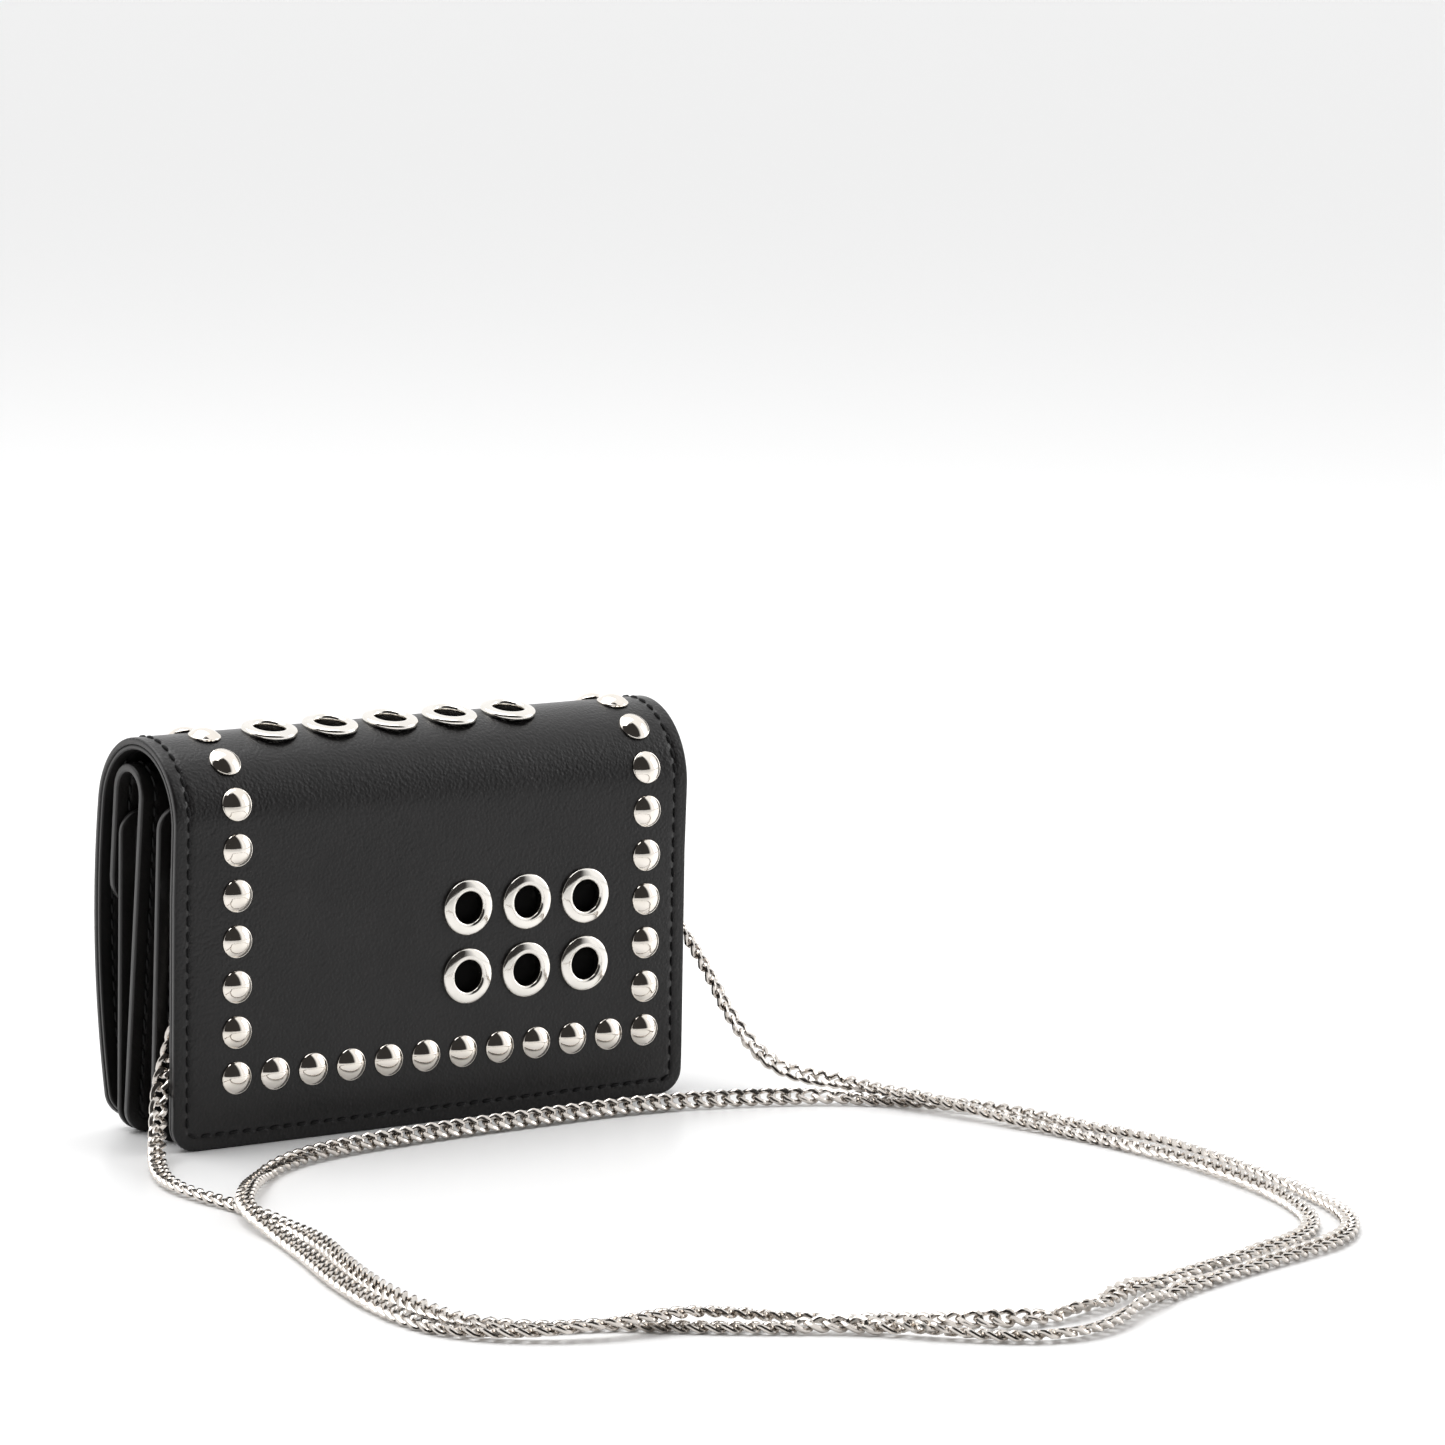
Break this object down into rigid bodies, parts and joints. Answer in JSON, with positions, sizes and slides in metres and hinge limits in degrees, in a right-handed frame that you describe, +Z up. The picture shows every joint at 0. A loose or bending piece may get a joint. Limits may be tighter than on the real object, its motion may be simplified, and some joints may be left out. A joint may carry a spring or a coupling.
{
  "type": "chain wallet",
  "caption": "Small studded leather flap wallet with accordion card pockets, a coin pocket under its own flap, grommets and a long flat curb chain.",
  "frame": {"origin": "bottom centre of the wallet's box, between the back panel and the flap, the chain left out", "axes": "+X along the wallet's width to the right as seen from the studded panel, +Y from the studded back panel to the flap, +Z up"},
  "size_m": [0.2108, 0.2438, 0.0823],
  "materials": {
    "cover_leather": "fine-grained charcoal black cow leather, soft sheen",
    "lining_leather": "smooth matt black lining leather",
    "inner_leather": "fine-grained black leather",
    "gusset_leather": "thin soft black leather",
    "stud_metal": "bright nickel plate, domed",
    "grommet_metal": "bright nickel plate, rolled",
    "ring_metal": "bright nickel plate",
    "snap_metal": "nickel plate",
    "chain_steel": "polished silver-coloured curb links"
  },
  "bodies": {
    "back": {"back_leather": "cover_leather", "back_lining": "lining_leather", "back_facing": "lining_leather", "back_studs": "stud_metal", "back_grommets": "grommet_metal", "back_gusset_left": "gusset_leather", "back_gusset_right": "gusset_leather", "pocket_floor_back": "gusset_leather", "ring_tab_left": "cover_leather", "ring_tab_right": "cover_leather", "d_ring_left": "ring_metal", "d_ring_right": "ring_metal", "link_ring_left": "ring_metal", "link_ring_right": "ring_metal", "chain": "chain_steel"},
    "spine": {"spine_leather": "cover_leather", "spine_lining": "lining_leather", "spine_studs": "stud_metal", "spine_grommets": "grommet_metal"},
    "flap": {"flap_leather": "cover_leather", "flap_lining": "lining_leather", "flap_studs": "stud_metal", "snap_socket": "snap_metal"},
    "divider": {"divider_leaf": "inner_leather", "card_slip_high": "inner_leather", "card_slip_low": "inner_leather", "divider_gusset_back_left": "gusset_leather", "divider_gusset_back_right": "gusset_leather", "divider_gusset_front_left": "gusset_leather", "divider_gusset_front_right": "gusset_leather", "pocket_floor_front": "gusset_leather"},
    "front": {"front_panel": "inner_leather", "coin_pocket_panel": "inner_leather", "coin_pocket_side_left": "gusset_leather", "coin_pocket_side_right": "gusset_leather", "front_gusset_left": "gusset_leather", "front_gusset_right": "gusset_leather", "snap_post": "snap_metal", "coin_snap_post": "snap_metal"},
    "coin_flap": {"coin_flap": "inner_leather", "coin_snap_socket": "snap_metal"}
  },
  "joints": [
    {"name": "spine_fold", "type": "hinge", "parent": "back", "child": "spine", "pos_m": [0, -0.01671, 0.0645], "axis": [1, 0, 0], "range_deg": [0, 75]},
    {"name": "flap_fold", "type": "hinge", "parent": "spine", "child": "flap", "pos_m": [0, 0.01514, 0.06673], "axis": [1, 0, 0], "range_deg": [0, 97.5]},
    {"name": "divider_lean", "type": "hinge", "parent": "back", "child": "divider", "pos_m": [0, -0.00571, 0.001], "axis": [1, 0, 0], "range_deg": [-3.75, 0]},
    {"name": "front_lean", "type": "hinge", "parent": "back", "child": "front", "pos_m": [0, 0.00519, 0.001], "axis": [1, 0, 0], "range_deg": [-7.5, 0]},
    {"name": "coin_flap_fold", "type": "hinge", "parent": "front", "child": "coin_flap", "pos_m": [0, -0.00155, 0.06848], "axis": [1, 0, 0], "range_deg": [0, 97.5]}
  ],
  "couplings": [
    {"joint": "flap_fold", "follows": "spine_fold", "ratio": 1.3},
    {"joint": "divider_lean", "follows": "spine_fold", "ratio": -0.05},
    {"joint": "front_lean", "follows": "spine_fold", "ratio": -0.1},
    {"joint": "coin_flap_fold", "follows": "spine_fold", "ratio": 1.3}
  ]
}
